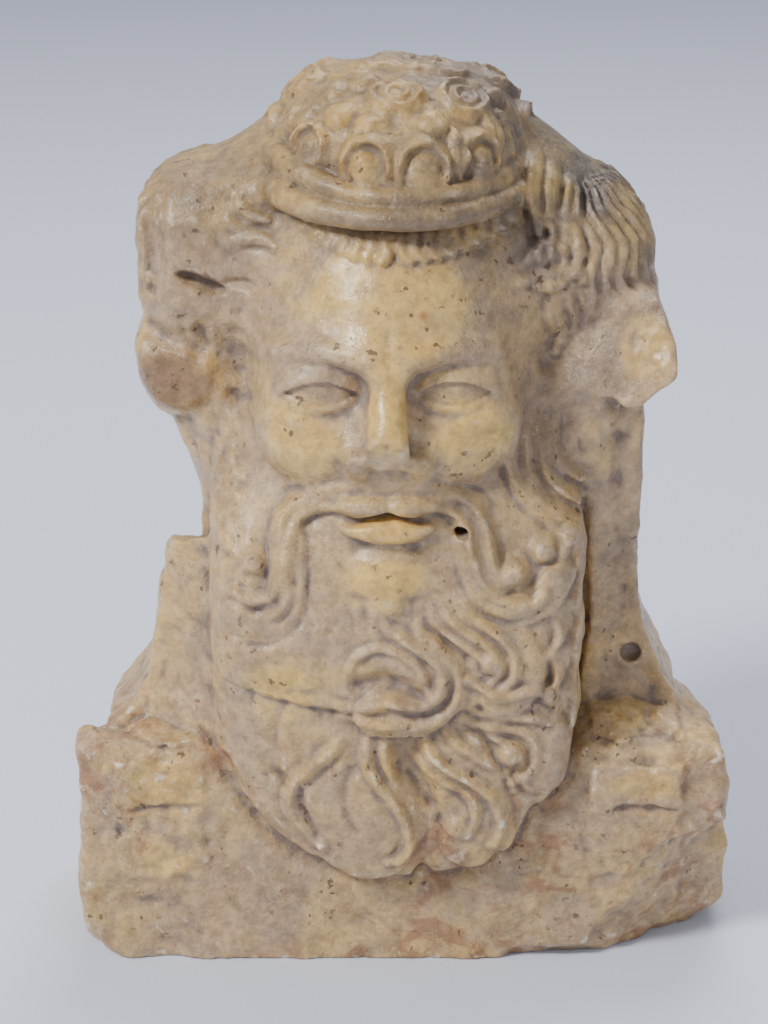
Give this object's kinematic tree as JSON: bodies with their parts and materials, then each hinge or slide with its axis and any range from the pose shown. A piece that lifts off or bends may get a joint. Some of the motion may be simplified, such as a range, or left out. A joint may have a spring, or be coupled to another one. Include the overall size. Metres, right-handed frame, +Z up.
{
  "type": "roman herm",
  "caption": "Small marble herm: a bearded, wreathed head with a fillet and side ribbons, carved in one piece with its chipped block and flat behind.",
  "frame": {"origin": "middle of the flat underside of the block", "axes": "+Z up through the wreath, -Y the way the face looks, +X to the right of someone facing the herm"},
  "size_m": [0.1245, 0.0572, 0.1658],
  "materials": {
    "marble": "worn, waxy cream-yellow marble with a grey-brown patina in the hollows"
  },
  "bodies": {
    "root": {"herm": "marble"}
  },
  "joints": []
}
